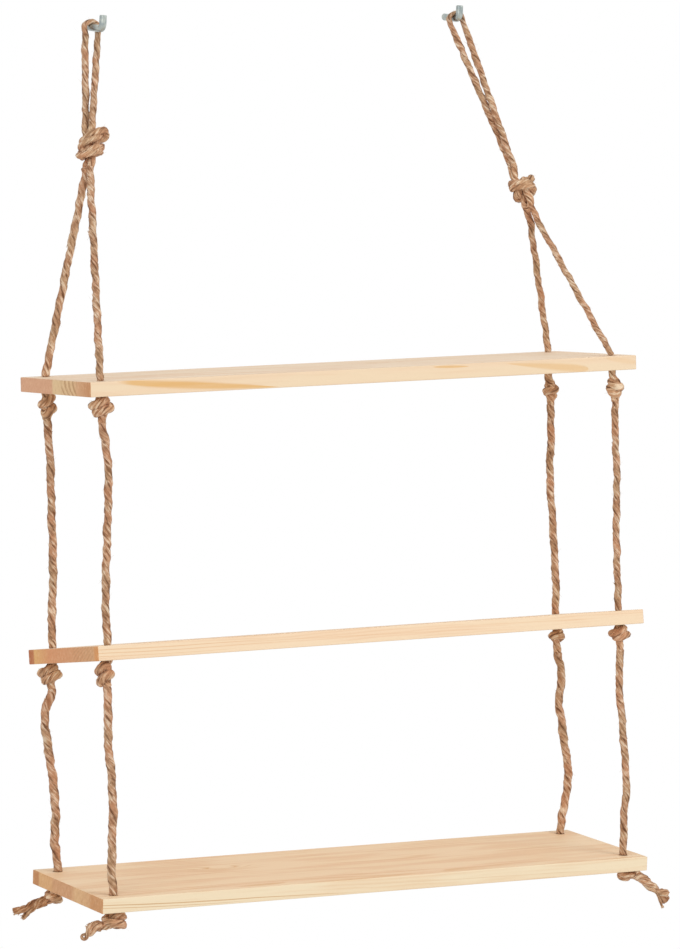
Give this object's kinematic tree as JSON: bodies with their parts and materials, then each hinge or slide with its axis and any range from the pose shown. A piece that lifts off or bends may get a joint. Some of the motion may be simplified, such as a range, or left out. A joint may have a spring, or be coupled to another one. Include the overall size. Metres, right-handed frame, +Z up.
{
  "type": "hanging rope shelf",
  "caption": "Hanging rope shelf: plank tiers threaded on knotted jute rope and looped over wall hooks, free to swing out from the wall and to sway sideways.",
  "frame": {"origin": "on the wall's face, midway between the shanks of the two wall hooks", "axes": "+X to the shelf's right seen from the room, +Y into the wall, +Z up; the shelf hangs at negative Y and Z"},
  "size_m": [0.6643, 0.1863, 0.8956],
  "materials": {
    "pine": "planed, untreated pine",
    "jute": "three-strand laid jute rope",
    "zinc": "zinc-plated steel wire"
  },
  "bodies": {
    "wall_hooks": {"left_wall_hook": "zinc", "right_wall_hook": "zinc"},
    "top_tier": {"left_hanging_loop": "jute", "right_hanging_loop": "jute", "left_top_knot": "jute", "right_top_knot": "jute", "top_left_back_rope": "jute", "top_left_front_rope": "jute", "top_right_back_rope": "jute", "top_right_front_rope": "jute", "top_shelf": "pine", "top_left_back_knot": "jute", "top_left_front_knot": "jute", "top_right_back_knot": "jute", "top_right_front_knot": "jute"},
    "middle_left_front_strand": {"middle_left_front_rope": "jute"},
    "middle_left_back_strand": {"middle_left_back_rope": "jute"},
    "middle_right_front_strand": {"middle_right_front_rope": "jute"},
    "middle_right_back_strand": {"middle_right_back_rope": "jute"},
    "middle_tier": {"middle_shelf": "pine", "middle_left_back_knot": "jute", "middle_left_front_knot": "jute", "middle_right_back_knot": "jute", "middle_right_front_knot": "jute"},
    "bottom_left_front_strand": {"bottom_left_front_rope": "jute"},
    "bottom_left_back_strand": {"bottom_left_back_rope": "jute"},
    "bottom_right_front_strand": {"bottom_right_front_rope": "jute"},
    "bottom_right_back_strand": {"bottom_right_back_rope": "jute"},
    "bottom_tier": {"bottom_shelf": "pine", "bottom_left_back_knot": "jute", "bottom_left_front_knot": "jute", "bottom_right_back_knot": "jute", "bottom_right_front_knot": "jute", "left_back_tail": "jute", "left_front_tail": "jute", "right_back_tail": "jute", "right_front_tail": "jute"}
  },
  "joints": [
    {"name": "swing_out", "type": "hinge", "parent": "wall_hooks", "child": "top_tier", "pos_m": [0.19509, -0.0202, 0.01644], "axis": [-0.998, 0.0405, -0.0476], "range_deg": [0, 20]},
    {"name": "middle_sway", "type": "hinge", "parent": "top_tier", "child": "middle_left_front_strand", "pos_m": [-0.25589, -0.13398, -0.38582], "axis": [0, -1, 0], "range_deg": [-10, 10]},
    {"name": "middle_left_back_sway", "type": "hinge", "parent": "top_tier", "child": "middle_left_back_strand", "pos_m": [-0.2559, -0.01594, -0.38553], "axis": [0, -1, 0], "range_deg": [-10, 10]},
    {"name": "middle_right_front_sway", "type": "hinge", "parent": "top_tier", "child": "middle_right_front_strand", "pos_m": [0.30706, -0.13379, -0.37562], "axis": [0, -1, 0], "range_deg": [-10.1, 10.1]},
    {"name": "middle_right_back_sway", "type": "hinge", "parent": "top_tier", "child": "middle_right_back_strand", "pos_m": [0.30718, -0.01564, -0.37932], "axis": [0, -1, 0], "range_deg": [-10, 10]},
    {"name": "middle_level", "type": "hinge", "parent": "middle_left_front_strand", "child": "middle_tier", "pos_m": [-0.25611, -0.14194, -0.58456], "axis": [0, -1, 0], "range_deg": [-10, 10]},
    {"name": "bottom_sway", "type": "hinge", "parent": "middle_tier", "child": "bottom_left_front_strand", "pos_m": [-0.25521, -0.14561, -0.63127], "axis": [0, -1, 0], "range_deg": [-10, 10]},
    {"name": "bottom_left_back_sway", "type": "hinge", "parent": "middle_tier", "child": "bottom_left_back_strand", "pos_m": [-0.25503, -0.02798, -0.64052], "axis": [0, -1, 0], "range_deg": [-11.3, 11.3]},
    {"name": "bottom_right_front_sway", "type": "hinge", "parent": "middle_tier", "child": "bottom_right_front_strand", "pos_m": [0.30769, -0.14561, -0.62046], "axis": [0, -1, 0], "range_deg": [-10, 10]},
    {"name": "bottom_right_back_sway", "type": "hinge", "parent": "middle_tier", "child": "bottom_right_back_strand", "pos_m": [0.30786, -0.02798, -0.62972], "axis": [0, -1, 0], "range_deg": [-10.7, 10.7]},
    {"name": "bottom_level", "type": "hinge", "parent": "bottom_left_front_strand", "child": "bottom_tier", "pos_m": [-0.25516, -0.14578, -0.81688], "axis": [0, -1, 0], "range_deg": [-10, 10]}
  ],
  "couplings": [
    {"joint": "middle_left_back_sway", "follows": "middle_sway", "ratio": 0.9541},
    {"joint": "middle_right_front_sway", "follows": "middle_sway", "ratio": 1.0031},
    {"joint": "middle_right_back_sway", "follows": "middle_sway", "ratio": 0.9757},
    {"joint": "middle_level", "follows": "middle_sway", "ratio": -1},
    {"joint": "bottom_left_back_sway", "follows": "bottom_sway", "ratio": 1.1205},
    {"joint": "bottom_right_front_sway", "follows": "bottom_sway", "ratio": 0.9521},
    {"joint": "bottom_right_back_sway", "follows": "bottom_sway", "ratio": 1.0607},
    {"joint": "bottom_level", "follows": "bottom_sway", "ratio": -1}
  ]
}
